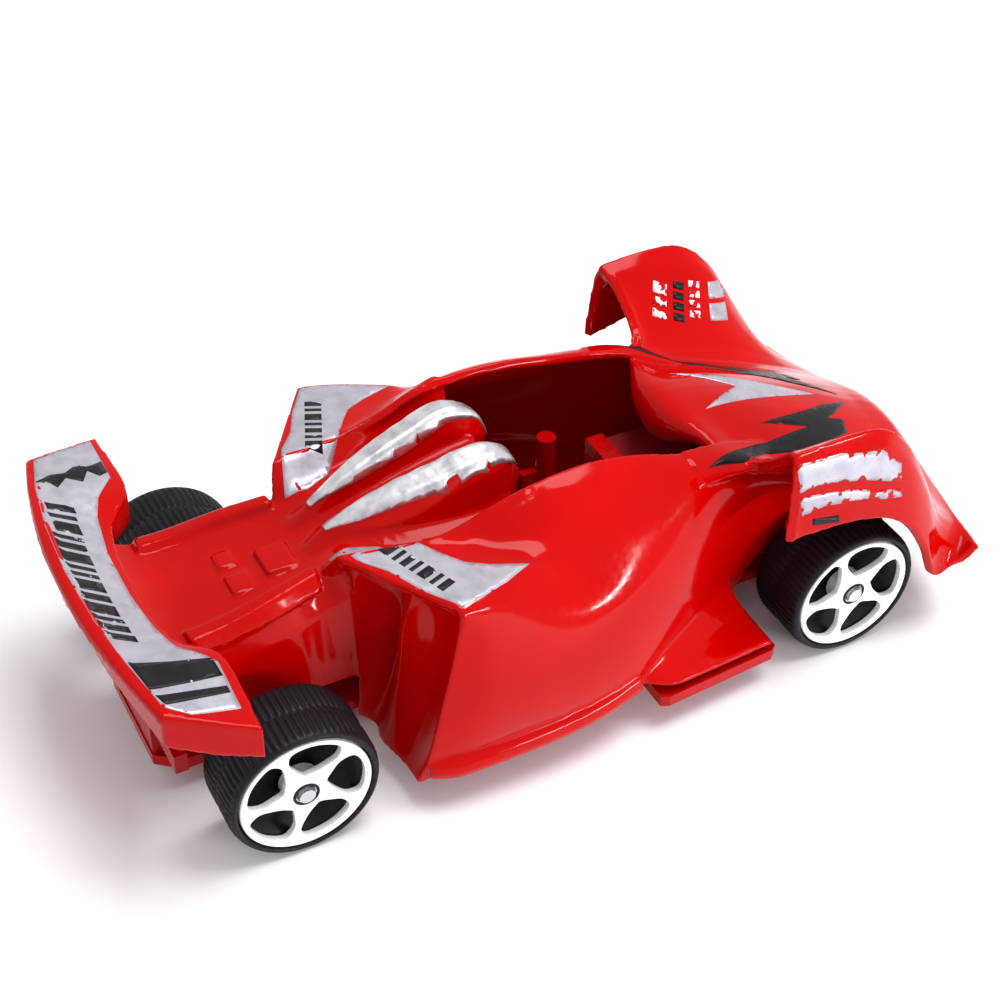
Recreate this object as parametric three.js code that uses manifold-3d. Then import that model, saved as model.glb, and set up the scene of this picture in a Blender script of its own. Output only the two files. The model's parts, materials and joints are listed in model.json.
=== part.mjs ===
// A pull-back racing car: a thin moulded body shell on a chassis plate, four spoked wheels on two
// axles, and a wind-up motor with a gear train on the rear axle.
// Millimetres, +Z up, nose towards -Y, car's left towards +X. The stations below are measured from
// the front axle; the last group moves the origin to the middle of the footprint.
import * as THREE from "three";
import { mergeVertices } from "three/addons/utils/BufferGeometryUtils.js";
import Module from "manifold-3d";

const wasm = await Module();
wasm.setup();

// Driving dimensions
const WHEELBASE = 93.8;
const TYRE_RADIUS = 11.6;
const TYRE_WIDTH = 11.5;
const RIM_RADIUS = 10;
const HALF_TRACK = 30.3; // to the outer face of a wheel
const AXLE_RADIUS = 1.2;
const AXLE_Z = TYRE_RADIUS;
const SHELL = 1.5; // wall of the body shell
const PLATE_Z = 5; // underside of the chassis plate
const PLATE = 2; // thickness of the chassis plate
const FRONT_END = -22.7; // y of the wing's front lip
const REAR_END = 121; // y of the rear valance
const CLEARANCE = 0.3;
const MODULE = 0.5; // gear module
const AXLE_TEETH = 10;
const IDLER_TEETH = 24;
const IDLER_PINION_TEETH = 9;
const SPRING_TEETH = 26;
const MESH_CLEARANCE = 0.12; // added to each pair's centre distance
const IDLER_RISE = 4.4; // idler axis above the rear axle
const SPRING_DROP = 0.4; // spring arbor below the idler axis
const MOTOR_HALF_WIDTH = 8.6;
const MOTOR_WALL = 1.2;

const COLOURS = {
  shell: [0xc40006, 0.22, 0],
  plate: [0xb00008, 0.35, 0],
  tyre: [0x17151a, 0.65, 0],
  face: [0xe8e8ee, 0.3, 0.2],
  steel: [0xb9bcc2, 0.3, 1],
  motor: [0x8e0a10, 0.45, 0],
  gear: [0xe9e4d4, 0.5, 0],
  spring: [0x5c6068, 0.35, 1],
  screw: [0xc8c2a8, 0.35, 1],
};

// ---- solids -------------------------------------------------------------------------------

const V = (x, y, z) => new THREE.Vector3(x, y, z);

// A closed geometry as a solid that can be joined and cut.
function solid(geometry) {
  const bare = geometry.index ? geometry.toNonIndexed() : geometry.clone();
  const plain = new THREE.BufferGeometry();
  plain.setAttribute("position", bare.getAttribute("position"));
  const merged = mergeVertices(plain, 1e-4);
  return new wasm.Manifold(
    new wasm.Mesh({
      numProp: 3,
      vertProperties: merged.attributes.position.array,
      triVerts: new Uint32Array(merged.index.array),
    }),
  );
}

function geometryOf(body) {
  const made = body.getMesh();
  const geometry = new THREE.BufferGeometry();
  geometry.setAttribute("position", new THREE.BufferAttribute(made.vertProperties, 3));
  geometry.setIndex(new THREE.BufferAttribute(made.triVerts, 1));
  geometry.computeVertexNormals();
  return geometry;
}

function part(name, body, [color, roughness, metalness]) {
  const material = new THREE.MeshStandardMaterial({ color, roughness, metalness });
  const mesh = new THREE.Mesh(body.isBufferGeometry ? body : geometryOf(body), material);
  mesh.name = name;
  return mesh;
}

const join = (bodies) => bodies.reduce((sum, next) => sum.add(next));

function box(x0, x1, y0, y1, z0, z1) {
  const g = new THREE.BoxGeometry(x1 - x0, y1 - y0, z1 - z0);
  return solid(g.translate((x0 + x1) / 2, (y0 + y1) / 2, (z0 + z1) / 2));
}

function rodX(radius, x0, x1, y, z, sides = 24) {
  const g = new THREE.CylinderGeometry(radius, radius, x1 - x0, sides).rotateZ(Math.PI / 2);
  return solid(g.translate((x0 + x1) / 2, y, z));
}

function rodZ(radius, x, y, z0, z1, sides = 20) {
  const g = new THREE.CylinderGeometry(radius, radius, z1 - z0, sides).rotateX(Math.PI / 2);
  return solid(g.translate(x, y, (z0 + z1) / 2));
}

// A flat outline in XY, extruded from z0 to z1.
function slab(points, z0, z1) {
  const shape = new THREE.Shape(points.map(([x, y]) => new THREE.Vector2(x, y)));
  const g = new THREE.ExtrudeGeometry(shape, { depth: z1 - z0, bevelEnabled: false });
  return solid(g.translate(0, 0, z0));
}

// A smooth open curve through a row of points, resampled with `steps` pieces between neighbours.
function smooth(points, steps) {
  if (steps === 1) return points;
  return new THREE.CatmullRomCurve3(points, false, "centripetal").getPoints(steps * (points.length - 1));
}

// A closed wall of the given thickness behind a grid of surface points. Each row runs across the
// surface and the rows follow each other along it; `across` and `along` are the pieces that each
// stretch between two points is smoothed into.
function sheet(rows, { thickness = SHELL, across = 1, along = 1 } = {}) {
  const fine = rows.map((row) => smooth(row, across));
  const columns = fine[0].map((_, c) => smooth(fine.map((row) => row[c]), along));
  const nr = columns[0].length;
  const nc = columns.length;
  const outer = (r, c) => columns[c][r];
  const at = (r, c) => outer(Math.min(Math.max(r, 0), nr - 1), Math.min(Math.max(c, 0), nc - 1));
  const normal = (r, c) => {
    const u = at(r, c + 1).clone().sub(at(r, c - 1));
    const v = at(r + 1, c).clone().sub(at(r - 1, c));
    return u.cross(v).normalize();
  };
  const positions = [];
  for (let r = 0; r < nr; r++)
    for (let c = 0; c < nc; c++) positions.push(...outer(r, c));
  for (let r = 0; r < nr; r++)
    for (let c = 0; c < nc; c++)
      positions.push(...outer(r, c).clone().addScaledVector(normal(r, c), -thickness));
  const id = (side, r, c) => side * nr * nc + r * nc + c;
  const faces = [];
  const quad = (a, b, c, d) => faces.push(a, b, c, a, c, d);
  for (let r = 0; r < nr - 1; r++)
    for (let c = 0; c < nc - 1; c++) {
      quad(id(0, r, c), id(0, r, c + 1), id(0, r + 1, c + 1), id(0, r + 1, c));
      quad(id(1, r, c), id(1, r + 1, c), id(1, r + 1, c + 1), id(1, r, c + 1));
    }
  for (let c = 0; c < nc - 1; c++) {
    quad(id(1, 0, c), id(1, 0, c + 1), id(0, 0, c + 1), id(0, 0, c));
    quad(id(0, nr - 1, c), id(0, nr - 1, c + 1), id(1, nr - 1, c + 1), id(1, nr - 1, c));
  }
  for (let r = 0; r < nr - 1; r++) {
    quad(id(0, r, 0), id(0, r + 1, 0), id(1, r + 1, 0), id(1, r, 0));
    quad(id(1, r, nc - 1), id(1, r + 1, nc - 1), id(0, r + 1, nc - 1), id(0, r, nc - 1));
  }
  const g = new THREE.BufferGeometry();
  g.setAttribute("position", new THREE.BufferAttribute(new Float32Array(positions), 3));
  g.setIndex(faces);
  return solid(g);
}

const vectors = (rows) => rows.map((row) => row.map((p) => V(...p)));
const flip = (p) => [-p[0], p[1], p[2]];

// Rows given from the middle outwards, completed with their mirror image.
const fullWidth = (rows) => vectors(rows.map((row) => [...row.slice(1).reverse().map(flip), ...row]));
const rightHand = (rows) => vectors(rows.map((row) => row.map(flip).reverse()));

// The same wall on both sides of the car.
const pair = (rows, options) => sheet(vectors(rows), options).add(sheet(rightHand(rows), options));

// ---- body shell: half sections, from the middle or the inner edge outwards -----------------

const WING_FRONT = [
  [0, -22.6, 36.6], [8, -22.35, 36.5], [16, -21.5, 36.4], [23, -20.4, 36.2], [29.6, -18.8, 35.6],
];
const WING_REAR = [[0, -12.4, 32], [8, -12.2, 32], [14, -10.8, 32.3], [19.1, -6.9, 33], [34.6, -6.8, 32.5]];
const WING_EDGE = [
  [-1, -22.6, 36.6], [16, -21.5, 36.4], [29.6, -18.8, 35.6], [32.2, -12.8, 34.1], [34.6, -6.8, 32.5],
  [19.1, -6.9, 33], [14, -10.8, 32.3],
];
const LIP_DROP = [4.4, 4.7, 6, 6.4, 5.6, 6, 4];

const NOSE = [
  [[0, -15, 31.6], [8, -15, 31.4], [13, -14, 30.8], [15.5, -13, 27], [16, -12.5, 21]],
  [[0, -10, 29.2], [8, -10, 29.1], [12.4, -9.5, 28.8], [14, -9, 24], [14.5, -8.5, 16]],
  [[0, -4, 28.9], [8, -4, 28.9], [12, -4, 28.8], [13.4, -4, 24], [14, -4, 14]],
  [[0, 5, 30], [7, 5, 30.2], [11.1, 5, 30.4], [12.8, 5, 25], [13.2, 5, 13]],
  [[0, 12, 31], [5, 12, 31.2], [9.3, 12, 31.6], [12, 12, 27], [13, 12, 13]],
  [[0, 17, 32.4], [6, 17, 33], [11, 15.5, 34.4], [12.6, 16.5, 28], [13.2, 17, 13]],
];

// Cowl in front of the cockpit: the middle, a raised rib each side, a valley, then the cockpit rim.
const COWL = [
  [[0, 12, 31], [1.5, 12, 31], [2.2, 12, 31.2], [3.5, 12, 31.2],
    [5, 12, 31.1], [7.5, 12, 31.2], [9.5, 12, 31.6]],
  [[0, 16.5, 32.3], [1.2, 16.5, 32.6], [2.4, 16.3, 34.8], [3.6, 16.3, 34.8],
    [5.5, 16.5, 32.8], [8.5, 15.5, 33], [11.9, 14, 36.3]],
  [[0, 24, 34.5], [1.6, 24, 34.6], [3, 24, 38.6], [6, 24, 38],
    [8, 24, 34], [10.5, 24, 33], [13.8, 24, 36.1]],
  [[0, 32, 36], [2.2, 32, 36.4], [3.9, 32, 41.2], [7.6, 32, 40.4],
    [9.6, 32, 34.5], [12, 32, 33.5], [15, 32, 37.4]],
  [[0, 39, 37], [2.6, 39, 37.6], [4.5, 39, 42.9], [8, 39, 42.2],
    [9.8, 39, 35], [12.3, 39, 33.5], [15.1, 39, 40]],
  [[0, 42, 37], [2.6, 42.5, 37.4], [4.2, 43.8, 40.6], [7, 43.8, 40.2],
    [9, 42.5, 35], [12.2, 42, 33.5], [14.9, 43, 40.8]],
  [[0, 42.6, 33], [2.6, 43.2, 33.5], [4, 45.8, 36.3], [6.6, 45.8, 36],
    [8.6, 43.2, 32], [12.2, 43, 30.5], [14.7, 44, 34]],
];

// Side pod, from the cockpit rim over the flare and down the flank to the lower edge.
const SIDE_POD = [
  [[11.5, 13.3, 36.5], [14, 15, 36.4], [19, 18.2, 36.2], [24, 21.5, 35.9], [29.1, 24.7, 35.4],
    [29.8, 23.3, 29], [30.4, 21, 20], [30.6, 18.6, 10], [29.8, 17.2, 5]],
  [[13.8, 26, 36.3], [15.5, 26, 36], [20, 27, 35.8], [25, 28, 35.6], [28.3, 28.5, 35.3],
    [30.8, 28, 29], [32.3, 27, 19.5], [31.8, 26, 9.5], [29.6, 26, 5]],
  [[14.7, 32, 37.6], [16, 32.3, 36.2], [18.5, 32.8, 35.5], [23, 33, 35.2], [26.5, 33.5, 35],
    [30.2, 33.5, 29], [32.6, 33, 19.5], [31.9, 33, 9.5], [29.3, 33, 5]],
  [[14.9, 38, 40], [16.8, 38.2, 38], [20, 38.3, 35.6], [22.5, 38.5, 34.9], [24.6, 38.8, 34.3],
    [29.5, 39, 27.5], [32.2, 39.5, 18.5], [31.8, 40, 9.3], [29.1, 40, 5]],
  [[14.5, 45, 41.2], [16.6, 45, 39.8], [19.5, 45, 37.2], [22.5, 45, 34.3], [25.2, 45, 31],
    [29, 46, 25.5], [31.4, 47, 17.5], [31.2, 47, 9], [28.6, 47, 5]],
  [[14, 53, 41.2], [16.2, 53, 40], [19, 53, 37.6], [21.7, 53, 34.8], [24.2, 53.5, 31.3],
    [27.4, 54.5, 25.5], [29.6, 55, 17.5], [29.8, 55.5, 10], [28, 56, 7.6]],
  [[13.9, 61, 39.8], [16, 61, 38.8], [18.5, 61, 36.8], [20.8, 61.5, 34.2], [22.8, 62, 31],
    [25, 63, 25.5], [26.5, 63.5, 17.5], [26.2, 64, 11], [24.8, 64.5, 7.6]],
  [[14.4, 68, 37.9], [16.2, 68.3, 37.4], [18, 68.6, 36.2], [19.6, 69, 34.2], [21, 69.5, 31],
    [22.2, 70.5, 25.5], [22.8, 71, 17.5], [22.3, 71.5, 11], [21.3, 72, 7.6]],
  [[14.6, 73, 36.6], [16.2, 73.4, 36], [17.6, 73.9, 34.8], [18.7, 74.5, 33], [19.5, 75.2, 30.2],
    [19.8, 76.2, 25.5], [19.6, 77.2, 17.5], [19, 77.8, 11], [18.4, 78.2, 7.6]],
  [[15.2, 79, 33.3], [16, 79.3, 32.8], [16.8, 79.6, 32.1], [17.5, 80, 31], [18, 80.5, 29.2],
    [18.1, 81.5, 25], [18, 82.5, 18.5], [17.9, 83, 14.8], [17.8, 83.4, 13.8]],
  [[15.2, 92, 28], [15.8, 92, 27.7], [16.4, 92, 27.2], [16.9, 92, 26.6], [17.3, 92, 25.6],
    [17.5, 92, 23], [17.6, 92, 18.5], [17.6, 92, 15], [17.6, 92, 14]],
];

// Wall between the nose and the side pod, behind the front wheel, from the nose outwards.
const POD_FRONT = [
  [[12.3, 15, 34.2], [12.6, 15.6, 28], [13, 15.8, 20], [13.2, 15.4, 10], [13.2, 15, 5]],
  [[18, 19.5, 35.2], [17.5, 21.5, 29], [17, 21, 20], [16.5, 18.6, 10], [16.2, 16.6, 5]],
  [[21.5, 21.5, 35.1], [20.6, 19.5, 29], [20, 18.6, 20], [19.6, 17.2, 10], [19.4, 16, 5]],
  [[25, 23.5, 34.9], [25.6, 23.6, 29], [25.8, 21.8, 20], [25.6, 19, 10], [25.2, 17, 5]],
  [[29.1, 24.7, 35.4], [29.8, 23.3, 29], [30.4, 21, 20], [30.6, 18.6, 10], [29.8, 17.2, 5]],
];

// Rear deck, from the middle of the central tongue over the fender's ridge to the wheel arch.
const REAR_DECK = [
  [[0, 72.4, 30.2], [4.5, 73, 31.4], [9, 75.4, 33], [13, 77.4, 33], [17.5, 80.6, 32.6],
    [22.3, 81.2, 36.2], [27, 79.8, 40.6], [29, 79, 35], [29.6, 78.6, 29]],
  [[0, 71, 33.6], [4.7, 71.8, 34.4], [9.5, 74.2, 34.9], [14.5, 77, 33.6], [18.6, 80.2, 34],
    [23.2, 80.1, 38.4], [28, 78.8, 42.6], [29.9, 78.1, 35.4], [30.5, 77.8, 28.7]],
  [[0, 73, 37.4], [5, 73.6, 37], [10, 75.4, 36.2], [15.3, 77.6, 34.1], [19.2, 80.4, 35.3],
    [23.8, 80, 39.4], [28.3, 78.7, 43.4], [30, 78.4, 35.8], [30.6, 78, 28.8]],
  [[0, 80, 36.9], [5, 80, 36.2], [10, 80.5, 34.2], [15.3, 82, 32.2], [19.6, 83.4, 34.6],
    [24, 83.6, 39.4], [28.5, 83.6, 43.9], [30.6, 83.4, 36], [31.4, 83.2, 29.4]],
  [[0, 88, 34.5], [5, 88, 33.8], [10, 88, 31.9], [15.4, 88.4, 29.9], [19.6, 88.6, 33.8],
    [24, 88.6, 38.9], [28.6, 88.6, 44.1], [30.9, 88.4, 36], [32.2, 88.4, 30]],
  [[0, 95, 31.7], [5, 95, 31], [10, 95, 29.2], [15.4, 95, 27.5], [19.6, 95, 31.9],
    [24, 95, 37.4], [28.4, 95, 43], [31, 95, 35.2], [32.6, 95, 28.6]],
  [[0, 101, 29.1], [5, 101, 28.5], [10, 101, 26.9], [15.4, 101, 25.3], [19.6, 100.8, 29],
    [23.8, 100.6, 33.8], [28, 100.4, 38.4], [31, 100.2, 31.6], [32.9, 100, 25.2]],
  [[0, 107, 26.5], [5, 107, 25.9], [10, 107, 24.4], [15.4, 106.8, 22.9], [19.6, 106.4, 25],
    [23.8, 106, 27.8], [27.8, 105.6, 29.8], [31, 105, 25], [33, 104.6, 18.6]],
  [[0, 113, 23.6], [5, 113, 23.1], [10, 112.8, 21.8], [15.4, 112.4, 20.3], [19.6, 111.8, 20.6],
    [23.8, 111, 21], [27.8, 110.2, 20.8], [31, 109.2, 17.4], [32.8, 108.2, 11.8]],
  [[0, 118.6, 20.8], [5, 118.5, 20.3], [10, 118, 19.1], [15.4, 117.2, 17.8], [19.6, 116.4, 17.3],
    [23.8, 115.4, 17], [27.8, 114.4, 16.8], [31, 113, 15.6], [33, 111.4, 14.2]],
  [[0, 120.6, 17.8], [5, 120.4, 17.4], [10, 119.9, 16.8], [15.4, 119, 16.2], [19.6, 118.2, 16],
    [23.8, 117.2, 16], [27.8, 116.2, 16.2], [31, 115.2, 16.6], [33.2, 113.8, 17.2]],
];
const REAR_VALANCE = [
  [[0, 119.8, 17.6], [8, 119.4, 17], [15, 118.4, 16.4], [25, 116.2, 16], [30, 114.8, 16]],
  [[0, REAR_END, 9.5], [8, 120.6, 9.5], [15, 119.8, 9.5], [25, 117.8, 10], [29, 116.4, 11]],
];

// Skirt that runs out from the foot of the side pod over the edge of the chassis plate.
const SKIRT = [
  [[28.4, 53, 13.5], [29.6, 54, 10.6], [30, 54.6, 8.9]],
  [[27, 57, 16], [29.8, 58.4, 11], [32.4, 59, 8.9]],
  [[24.8, 63, 16], [28.4, 64.4, 11], [32.2, 65, 8.9]],
  [[22, 70, 15], [26.4, 71, 10.6], [31.6, 71.6, 8.9]],
  [[19.2, 76.4, 13.5], [24.6, 77.4, 10], [31, 78, 8.9]],
];

// Places where a screw comes up through the chassis plate into the shell: x, y, top of the boss.
const FIXINGS = [[0, 9, 29.5], [-8.5, 40, 32.6], [8.5, 40, 32.6], [0, 107, 24.4]];
const BOSS_RADIUS = 3;
const SCREW_RADIUS = 0.8;

function bodyShell() {
  const wing = sheet(fullWidth([WING_FRONT, WING_REAR]), { across: 2 });
  const lower = WING_EDGE.map(([x, y, z], i) => [x, y, z - LIP_DROP[i]]);
  const lips = pair([lower, WING_EDGE]);
  const fine = { along: 2 };
  const skin = join([
    wing,
    lips,
    sheet(fullWidth(NOSE)),
    sheet(fullWidth(COWL)),
    pair(SIDE_POD, fine),
    pair(POD_FRONT),
    sheet(fullWidth(REAR_DECK), fine),
    sheet(fullWidth(REAR_VALANCE), { across: 2 }),
    pair(SKIRT, { thickness: 1.1 }),
  ]);
  const floor = PLATE_Z + PLATE + CLEARANCE;
  const bosses = FIXINGS.map(([x, y, top]) => rodZ(BOSS_RADIUS, x, y, floor, top));
  const pilots = FIXINGS.map(([x, y]) => rodZ(SCREW_RADIUS + CLEARANCE, x, y, floor - 1, floor + 9));
  return join([skin, ...bosses]).subtract(join(pilots));
}

// ---- chassis ------------------------------------------------------------------------------

const PLATE_OUTLINE = [
  [9, -15.8], [12, -12], [12, 18], [14, 20.5], [26.6, 20.5], [27.2, 45], [26.6, 52], [26.6, 57.2],
  [32.2, 57.2], [32.8, 58.5], [31.2, 78.2], [30.4, 79.2], [14, 79.6], [14, 112], [10, 114.5],
];
const CRADLE = 3; // thickness of a front axle cradle
const CRADLE_X = 7.8;
const POST = [10, 59.5, 27]; // support post in the cockpit: x, y, top
const POST_RADIUS = 1.6;
const POST_FIN = 0.7; // half the thickness of the fin in front of a post
const BUMPER = { halfWidth: 19, front: -15.2, rear: -13.2, z0: 12.4, z1: 15.8 };

function chassisPlate(motor) {
  const outline = [...PLATE_OUTLINE, ...PLATE_OUTLINE.map(([x, y]) => [-x, y]).reverse()];
  const top = PLATE_Z + PLATE;
  const z = top - 0.5;
  const pieces = [slab(outline, PLATE_Z, top)];
  for (const side of [-1, 1]) {
    const [near, far] = [side * CRADLE_X, side * (CRADLE_X + CRADLE)].sort((a, b) => a - b);
    pieces.push(box(near, far, -3.6, 3.6, z, AXLE_Z + 3.6));
    pieces.push(rodZ(POST_RADIUS, side * POST[0], POST[1], z, POST[2]));
    const fin = [side * POST[0] - POST_FIN, side * POST[0] + POST_FIN];
    pieces.push(box(...fin, POST[1] - 4.5, POST[1], z, 21));
    pieces.push(box(...fin, POST[1] - 8, POST[1] - 4, z, 15));
  }
  pieces.push(box(-BUMPER.halfWidth, BUMPER.halfWidth, BUMPER.front, BUMPER.rear, BUMPER.z0, BUMPER.z1));
  // Blocks on the middle of the plate: half width, front, rear, top.
  const blocks = [
    [9, BUMPER.front - 0.4, BUMPER.rear - 0.4, 15], // tab that carries the bumper
    [8, motor.y0 - 3.4, motor.y0 - CLEARANCE, 26], // stop in front of the motor
    [8, motor.y1 + CLEARANCE, motor.y1 + 2.5, 18], // stop behind the motor
    [4.5, 46, 62, 12], // low block in the cockpit
  ];
  for (const [halfWidth, front, rear, height] of blocks)
    pieces.push(box(-halfWidth, halfWidth, front, rear, z, height));
  const cuts = [rodX(AXLE_RADIUS + CLEARANCE, -20, 20, 0, AXLE_Z)];
  for (const [x, y] of FIXINGS) {
    cuts.push(rodZ(SCREW_RADIUS + CLEARANCE, x, y, PLATE_Z - 1, top + 1));
    cuts.push(rodZ(2.3, x, y, PLATE_Z - 1, PLATE_Z + 1.2));
  }
  return join(pieces).subtract(join(cuts));
}

function chassisScrew(x, y) {
  const head = rodZ(2, x, y, PLATE_Z + 0.15, PLATE_Z + 1.05);
  const shank = rodZ(SCREW_RADIUS, x, y, PLATE_Z + 1, PLATE_Z + PLATE + 7, 12);
  const slot = box(x - 1.4, x + 1.4, y - 0.25, y + 0.25, PLATE_Z - 1, PLATE_Z + 0.55);
  return head.add(shank).subtract(slot);
}

// ---- wheels -------------------------------------------------------------------------------

// Tyre and its moulded-in back disc: radius and distance from the outer face.
const TYRE_SECTION = [
  [1.5, -4], [8.6, -4], [8.6, -1.9], [10.3, -1.9], [10.3, -0.3], [10.7, 0], [11.2, -0.45],
  [TYRE_RADIUS, -1.6], [TYRE_RADIUS, -10], [11.2, -11.1], [10.6, -TYRE_WIDTH], [9, -TYRE_WIDTH],
  [9, -6], [1.5, -6], [1.5, -4],
];
const SPOKES = 5;
const FACE_THICKNESS = 1.3;

function tyre() {
  const section = TYRE_SECTION.map(([r, a]) => new THREE.Vector2(r, a)).reverse();
  return solid(new THREE.LatheGeometry(section, 32).rotateZ(-Math.PI / 2));
}

// One window between two swirled spokes.
function windowOutline(turn) {
  const at = (r, degrees) => {
    const a = turn + THREE.MathUtils.degToRad(degrees);
    return new THREE.Vector2(r * Math.cos(a), r * Math.sin(a));
  };
  const hole = new THREE.Path();
  hole.moveTo(...at(3.9, 14));
  hole.quadraticCurveTo(...at(6.6, 28), ...at(8.3, 24));
  hole.quadraticCurveTo(...at(8.9, 2), ...at(8.2, -22));
  hole.quadraticCurveTo(...at(6.3, -26), ...at(4.9, -16));
  hole.quadraticCurveTo(...at(3.6, -4), ...at(3.9, 14));
  return hole;
}

function wheelFace() {
  const shape = new THREE.Shape().absarc(0, 0, RIM_RADIUS, 0, 2 * Math.PI);
  shape.holes.push(new THREE.Path().absarc(0, 0, 1.5, 0, 2 * Math.PI));
  for (let i = 0; i < SPOKES; i++) shape.holes.push(windowOutline((i * 2 * Math.PI) / SPOKES));
  const options = { depth: FACE_THICKNESS, bevelEnabled: false, curveSegments: 4 };
  const disc = new THREE.ExtrudeGeometry(shape, options).rotateY(Math.PI / 2);
  const hub = rodX(2.9, -3.7, -1, 0, 0).subtract(rodX(1.5, -5, 0, 0, 0));
  return solid(disc.translate(-FACE_THICKNESS - 0.3, 0, 0)).add(hub);
}

// ---- wind-up motor ------------------------------------------------------------------------

// Outline of an involute gear with slim teeth, one tooth centred on the angle `turn`.
function gearOutline(teeth, turn) {
  const pitch = (MODULE * teeth) / 2;
  const base = pitch * Math.cos(THREE.MathUtils.degToRad(20));
  const tip = pitch + 0.85 * MODULE;
  const root = pitch - 1.1 * MODULE;
  const involute = (r) => {
    const a = Math.acos(Math.min(1, base / r));
    return Math.tan(a) - a;
  };
  const half = Math.PI / (2 * teeth) - 0.07 / pitch; // half a tooth at the pitch circle, less backlash
  const flank = [Math.max(base, root), pitch, tip].map((r) => [r, half + involute(pitch) - involute(r)]);
  const points = [];
  for (let i = 0; i < teeth; i++) {
    const middle = turn + (2 * Math.PI * i) / teeth;
    const side = [[root, flank[0][1] + 0.02], ...flank];
    for (const [r, a] of side) points.push([r, middle - a]);
    for (const [r, a] of side.reverse()) points.push([r, middle + a]);
  }
  return points.map(([r, a]) => [r * Math.cos(a), r * Math.sin(a)]);
}

// A gear about the X axis, centred on (y, z), with a tooth at the angle `turn` from +Y towards +Z.
function gear(teeth, turn, x0, x1, y, z) {
  const shape = new THREE.Shape(gearOutline(teeth, turn).map(([u, v]) => new THREE.Vector2(u, v)));
  const g = new THREE.ExtrudeGeometry(shape, { depth: x1 - x0, bevelEnabled: false });
  const toX = new THREE.Matrix4().makeBasis(V(0, 1, 0), V(0, 0, 1), V(1, 0, 0));
  return solid(g.applyMatrix4(toX).translate(x0, y, z));
}

const stage = (a, b) => (MODULE * (a + b)) / 2 + MESH_CLEARANCE;

// Where the three axes of the train are, and the outside of the motor's case.
function motorLayout() {
  const axle = { y: WHEELBASE, z: AXLE_Z };
  const first = stage(AXLE_TEETH, IDLER_TEETH);
  const second = stage(IDLER_PINION_TEETH, SPRING_TEETH);
  const idler = { y: axle.y - Math.sqrt(first ** 2 - IDLER_RISE ** 2), z: axle.z + IDLER_RISE };
  const spring = { y: idler.y - Math.sqrt(second ** 2 - SPRING_DROP ** 2), z: idler.z - SPRING_DROP };
  const y0 = spring.y - (MODULE * SPRING_TEETH) / 2 - 2;
  const y1 = axle.y + (MODULE * AXLE_TEETH) / 2 + 2.4;
  return { axle, idler, spring, y0, y1, z0: PLATE_Z + PLATE + CLEARANCE, z1: idler.z + 8.2 };
}

function motorHalf(motor, side) {
  const inner = side * 0.15;
  const outer = side * MOTOR_HALF_WIDTH;
  const wall = MOTOR_WALL;
  const [x0, x1] = [inner, outer].sort((a, b) => a - b);
  const [c0, c1] = [inner - side, outer - side * wall].sort((a, b) => a - b);
  const case_ = box(x0, x1, motor.y0, motor.y1, motor.z0, motor.z1);
  const cavity = box(c0, c1, motor.y0 + wall, motor.y1 - wall, motor.z0 + wall, motor.z1 - wall);
  const bore = rodX(AXLE_RADIUS + CLEARANCE, -20, 20, motor.axle.y, motor.axle.z);
  const arbor = rodX(1.4 + CLEARANCE, -20, 20, motor.spring.y, motor.spring.z);
  return case_.subtract(cavity).subtract(bore).subtract(arbor);
}

function axleGear({ axle, idler }) {
  const towards = Math.atan2(idler.z - axle.z, idler.y - axle.y);
  const bore = rodX(AXLE_RADIUS + CLEARANCE, -9, 9, axle.y, axle.z);
  return gear(AXLE_TEETH, towards, -3.8, -1.4, axle.y, axle.z).subtract(bore);
}

function idlerGear({ axle, idler, spring }) {
  const back = Math.atan2(axle.z - idler.z, axle.y - idler.y);
  const on = Math.atan2(spring.z - idler.z, spring.y - idler.y);
  const wheel = gear(IDLER_TEETH, back + Math.PI / IDLER_TEETH, -3.5, -1.7, idler.y, idler.z);
  const pinion = gear(IDLER_PINION_TEETH, on, -1.8, 1.4, idler.y, idler.z);
  return wheel.add(pinion).subtract(rodX(0.9 + CLEARANCE, -9, 9, idler.y, idler.z));
}

function springGear({ idler, spring }) {
  const back = Math.atan2(idler.z - spring.z, idler.y - spring.y);
  const wheel = gear(SPRING_TEETH, back + Math.PI / SPRING_TEETH, -1.1, 0.8, spring.y, spring.z);
  const arbor = rodX(1.4, -MOTOR_HALF_WIDTH, MOTOR_HALF_WIDTH, spring.y, spring.z, 16);
  return wheel.add(arbor);
}

const SPRING_TURNS = 5;
const SPRING_INNER = 1.75;
const SPRING_OUTER = 6.1;
const SPRING_STRIP = 0.3;
const SPRING_SIDE = 1.7; // x of the side that faces the gears
const SPRING_WIDTH = 4.7;

function mainspring({ spring }) {
  const steps = SPRING_TURNS * 20;
  const along = (offset) =>
    Array.from({ length: steps + 1 }, (_, i) => {
      const t = i / steps;
      const r = SPRING_INNER + (SPRING_OUTER - SPRING_INNER) * t + offset;
      const a = 2 * Math.PI * SPRING_TURNS * t;
      return new THREE.Vector2(r * Math.cos(a), r * Math.sin(a));
    });
  const shape = new THREE.Shape([...along(SPRING_STRIP), ...along(0).reverse()]);
  const g = new THREE.ExtrudeGeometry(shape, { depth: SPRING_WIDTH, bevelEnabled: false });
  const toX = new THREE.Matrix4().makeBasis(V(0, 1, 0), V(0, 0, 1), V(1, 0, 0));
  return solid(g.applyMatrix4(toX).translate(SPRING_SIDE, spring.y, spring.z));
}

// ---- the car ------------------------------------------------------------------------------

const car = new THREE.Group();
car.position.y = -(FRONT_END + REAR_END) / 2;

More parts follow.
